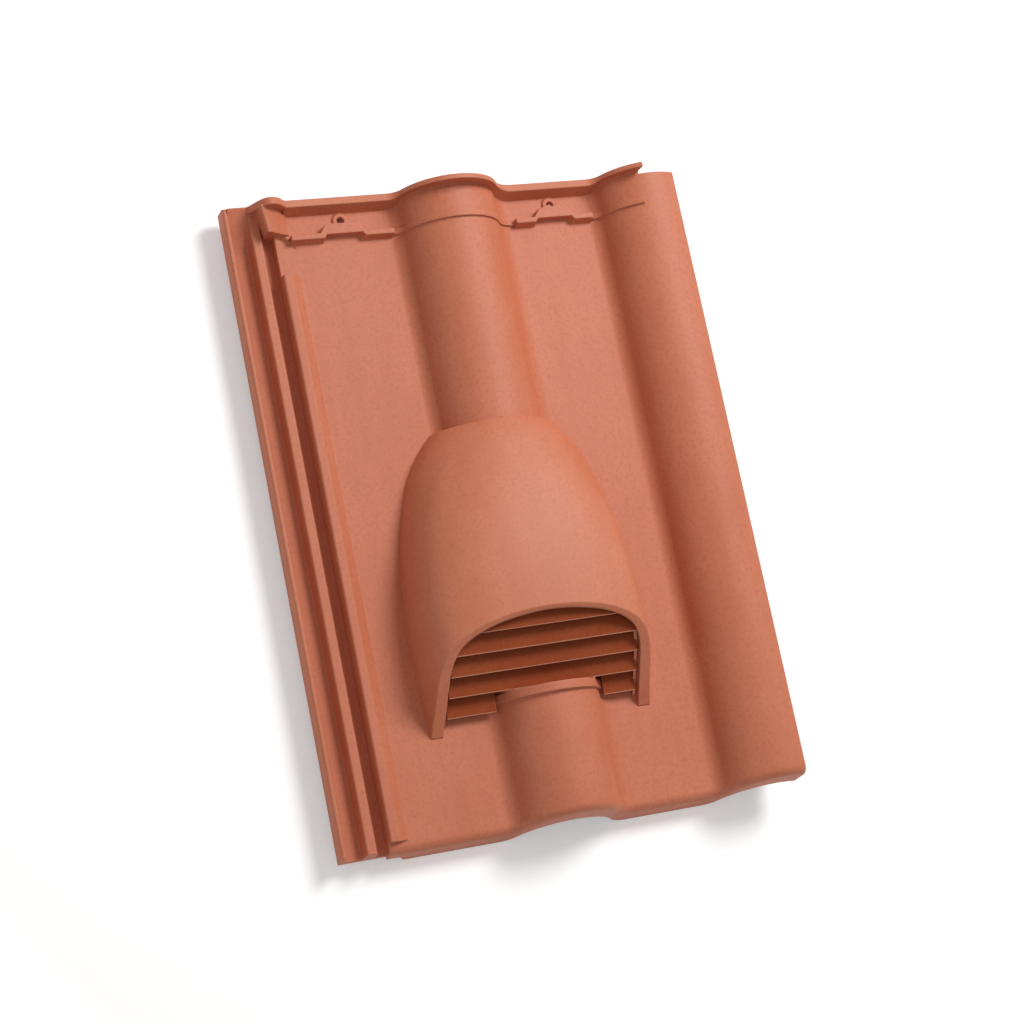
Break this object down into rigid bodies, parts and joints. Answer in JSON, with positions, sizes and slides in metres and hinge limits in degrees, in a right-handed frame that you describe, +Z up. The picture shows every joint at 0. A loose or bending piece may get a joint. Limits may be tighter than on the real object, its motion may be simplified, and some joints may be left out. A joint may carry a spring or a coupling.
{
  "type": "ventilation roof tile",
  "caption": "Double-roll interlocking roof tile with a hooded, louvred air outlet over its centre roll.",
  "frame": {"origin": "centre of the bounding box in plan, on the plane the tile lies on", "axes": "+Z up, square to the pans; +Y along the rolls, from the tail up the roof to the head; +X across the tile, from the underlap side to the cover side"},
  "size_m": [0.3084, 0.424, 0.0745],
  "materials": {
    "tile": "matte, fine-grained terracotta",
    "hood": "matte, fine-grained terracotta",
    "louvre": "matte terracotta"
  },
  "bodies": {
    "root": {"tile_body": "tile", "vent_hood": "hood", "louvre_insert": "louvre"}
  },
  "joints": []
}
